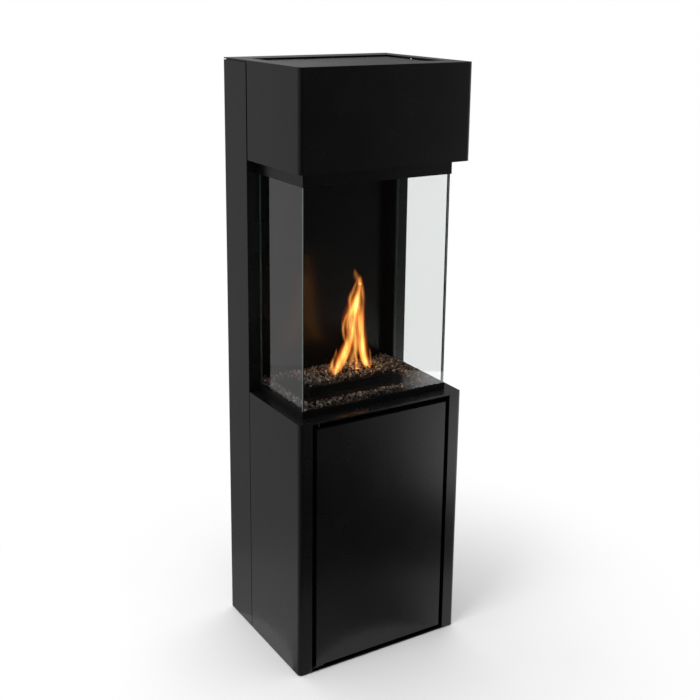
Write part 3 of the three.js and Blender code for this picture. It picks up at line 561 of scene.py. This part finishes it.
# ---------------------------------------------------------------- light, floor and background
def soft_light(name, place, target, size, power, colour=(1, 1, 1)):
    data = bpy.data.lights.new(name, "AREA")
    data.shape = "RECTANGLE"
    data.size, data.size_y = size
    data.energy = power
    data.color = colour
    lamp = bpy.data.objects.new(name, data)
    lamp.location = place
    lamp.rotation_euler = (Vector(target) - Vector(place)).to_track_quat("-Z", "Y").to_euler()
    lamp.visible_glossy = False
    scene.collection.objects.link(lamp)
    return lamp


KEY_POWER = 80
TOP_POWER = 70
FLAME_POWER = 1.2
FILL_LEVEL = 0.60
FLOOR_RADIUS = 9.0
SHADOW_REACH = (0.45, 1.15)
CARD_RADIUS = 4.6
CARD_HEIGHT = 5.2
WALL_LEVELS = [
    (-165, 0.32), (-150, 0.37), (-120, 0.40), (-90, 0.40), (-60, 0.20), (-35, 0.03), (-20, 0.01),
    (33, 0.01),
    (37, 0.06), (43, 0.32), (50, 0.85), (65, 1.00), (85, 0.90), (115, 0.45), (135, 0.30), (146, 0.22),
    (158, 0.42), (180, 0.40),
]
FOOT_LEVELS = [
    (-165, 0.30), (-120, 0.44), (-90, 0.44), (-60, 0.30), (-8, 0.20), (10, 0.16), (24, 0.20), (33, 0.40),
    (44, 0.75), (90, 0.80), (135, 0.40), (180, 0.30),
]
NEAR_LEVELS = [
    (-165, 0.28), (-150, 0.28), (-138, 0.32), (-120, 0.38), (-90, 0.36), (-60, 0.20), (-35, 0.06),
    (-8, 0.02), (12, 0.01), (34, 0.02), (42, 0.10), (50, 0.70), (90, 0.80), (135, 0.40), (180, 0.30),
]
MIDDLE_LEVELS = [
    (-165, 0.28), (-150, 0.32), (-138, 0.33), (-120, 0.37), (-90, 0.38), (-60, 0.20), (-35, 0.06),
    (-8, 0.01),
    (20, 0.01), (30, 0.02), (34.5, 0.05), (36, 1.40), (38, 2.00), (55, 1.80), (90, 0.90), (135, 0.30),
    (180, 0.30),
]
FAR_LEVELS = [
    (-165, 0.31), (-150, 0.36), (-120, 0.39), (-90, 0.39), (-60, 0.20), (-35, 0.03), (-20, 0.01),
    (33, 0.01),
    (37, 0.02), (40, 0.05), (43, 0.25), (48, 0.80), (65, 1.00), (90, 0.90), (135, 0.30), (146, 0.24),
    (158, 0.36), (180, 0.36),
]
OVERHEAD_PLACE = (2.2, -0.6, 4.3)
OVERHEAD_HALF = (1.1, 2.2)
OVERHEAD_LEVEL = 1.2
CARD_RINGS = [
    ("foot_card", 0.30, 0.62, FOOT_LEVELS),
    ("near_card", 0.62, 1.15, NEAR_LEVELS),
    ("middle_card", 1.15, 2.4, MIDDLE_LEVELS),
    ("far_card", 2.4, CARD_RADIUS, FAR_LEVELS),
]


def make_flame_light():
    """The warm light that the flame throws on the stones and panes, which mirrors don't show as a spot."""
    data = bpy.data.lights.new("flame_light", "POINT")
    data.energy = FLAME_POWER
    data.color = (1.0, 0.50, 0.18)
    data.shadow_soft_size = 0.02
    lamp = bpy.data.objects.new("flame_light", data)
    lamp.location = (0.01, -0.03, 0.84)
    lamp.visible_glossy = False
    scene.collection.objects.link(lamp)


def background_rays(tree):
    """One for the rays that show the background: those of the camera, of mirrors and through glass."""
    path = add(tree, "ShaderNodeLightPath")
    seen = math_node(tree, "MAXIMUM", path.outputs["Is Camera Ray"], path.outputs["Is Glossy Ray"])
    return math_node(tree, "MAXIMUM", seen, path.outputs["Is Transmission Ray"])


def make_world():
    world = bpy.data.worlds.new("studio")
    world.use_nodes = True
    tree = world.node_tree
    tree.nodes.clear()
    white = add(tree, "ShaderNodeBackground")
    white.inputs["Color"].default_value = (1, 1, 1, 1)
    white.inputs["Strength"].default_value = 1.0
    fill = add(tree, "ShaderNodeBackground")
    fill.inputs["Color"].default_value = (1, 1, 1, 1)
    fill.inputs["Strength"].default_value = FILL_LEVEL
    both = add(tree, "ShaderNodeMixShader")
    tree.links.new(background_rays(tree), both.inputs[0])
    tree.links.new(fill.outputs[0], both.inputs[1])
    tree.links.new(white.outputs[0], both.inputs[2])
    output = add(tree, "ShaderNodeOutputWorld")
    tree.links.new(both.outputs[0], output.inputs["Surface"])
    scene.world = world


def make_floor():
    """A pale floor with the object's soft shadow, which turns into the white background further out."""
    mesh = bpy.data.meshes.new("floor")
    rim = [(FLOOR_RADIUS * math.cos(2 * math.pi * i / 64), FLOOR_RADIUS * math.sin(2 * math.pi * i / 64), 0)
           for i in range(64)]
    mesh.from_pydata(rim, [], [tuple(range(64))])
    material, tree = new_material("floor")
    shader = add(tree, "ShaderNodeBsdfPrincipled")
    cloud = noise(tree, 2.0, 3.0)
    pale = mix_colour(tree, cloud, (0.86, 0.86, 0.86), (0.90, 0.90, 0.90))
    tree.links.new(pale, shader.inputs["Base Color"])
    shader.inputs["Roughness"].default_value = 0.6
    shader.inputs["Specular IOR Level"].default_value = 0.2
    white = add(tree, "ShaderNodeEmission")
    place = add(tree, "ShaderNodeTexCoord").outputs["Object"]
    distance = add(tree, "ShaderNodeVectorMath", operation="LENGTH")
    tree.links.new(place, distance.inputs[0])
    away = add(tree, "ShaderNodeMapRange", interpolation_type="SMOOTHSTEP")
    tree.links.new(distance.outputs["Value"], away.inputs["Value"])
    away.inputs["From Min"].default_value = SHADOW_REACH[0]
    away.inputs["From Max"].default_value = SHADOW_REACH[1]
    whiten = math_node(tree, "MULTIPLY", away.outputs[0], background_rays(tree))
    both = add(tree, "ShaderNodeMixShader")
    tree.links.new(whiten, both.inputs[0])
    tree.links.new(shader.outputs[0], both.inputs[1])
    tree.links.new(white.outputs[0], both.inputs[2])
    finish_surface(tree, both.outputs[0])
    mesh.materials.append(material)
    floor = bpy.data.objects.new("floor", mesh)
    floor.location.z = -0.5 * MM
    scene.collection.objects.link(floor)


def card_material(name, levels):
    """A card with its own grey at each direction, which is an angle from the front towards the right."""
    material, tree = new_material(name)
    place = add(tree, "ShaderNodeTexCoord").outputs["Object"]
    around = add(tree, "ShaderNodeTexGradient", gradient_type="RADIAL")
    tree.links.new(place, around.inputs["Vector"])
    brightest = max(grey for _, grey in levels)
    stops = sorted((((angle - 90) / 360 + 0.5) % 1.0, (grey / brightest,) * 3) for angle, grey in levels)
    glow = add(tree, "ShaderNodeEmission")
    glow.inputs["Strength"].default_value = brightest
    tree.links.new(ramp(tree, around.outputs["Fac"], stops), glow.inputs["Color"])
    finish_surface(tree, glow.outputs[0])
    return material


def stand_card(name, points, faces, levels):
    """A card that only mirrors see: it gives no light and no shadow, and the camera looks through it."""
    mesh = bpy.data.meshes.new(name)
    mesh.from_pydata(points, [], faces)
    material = card_material(name, levels)
    material.cycles.emission_sampling = "NONE"
    mesh.materials.append(material)
    card = bpy.data.objects.new(name, mesh)
    card.visible_camera = False
    card.visible_transmission = False
    card.visible_shadow = False
    card.visible_diffuse = False
    scene.collection.objects.link(card)


def make_cards():
    """Grey cards round and over the part. Mirrors see them instead of the white floor and background.

    Their levels are fitted to how light the paint of the real object looks from the camera's side.
    """
    steps = 72
    circle = [(math.cos(2 * math.pi * i / steps), math.sin(2 * math.pi * i / steps)) for i in range(steps)]

    def band(low, high):
        points = [(low[0] * x, low[0] * y, low[1]) for x, y in circle]
        points += [(high[0] * x, high[0] * y, high[1]) for x, y in circle]
        return points, [(i, (i + 1) % steps, (i + 1) % steps + steps, i + steps) for i in range(steps)]

    stand_card("wall_card", *band((CARD_RADIUS, 0), (CARD_RADIUS, CARD_HEIGHT)), WALL_LEVELS)
    for name, start, end, levels in CARD_RINGS:
        stand_card(name, *band((start, 1 * MM), (end, 1 * MM)), levels)
    x, y, z = OVERHEAD_PLACE
    across, along = OVERHEAD_HALF
    square = [(x + i * across, y + j * along, z) for i, j in ((-1, -1), (1, -1), (1, 1), (-1, 1))]
    stand_card("overhead_card", square, [(0, 1, 2, 3)], [(-180, OVERHEAD_LEVEL), (0, OVERHEAD_LEVEL)])


make_world()
make_floor()
make_cards()
soft_light("key", (-3.0, -0.8, 3.2), (0, 0, 0.9), (2.2, 2.2), KEY_POWER)
soft_light("top", (0.2, 0.6, 4.0), (0, 0, 1.0), (3.0, 3.0), TOP_POWER)
make_flame_light()
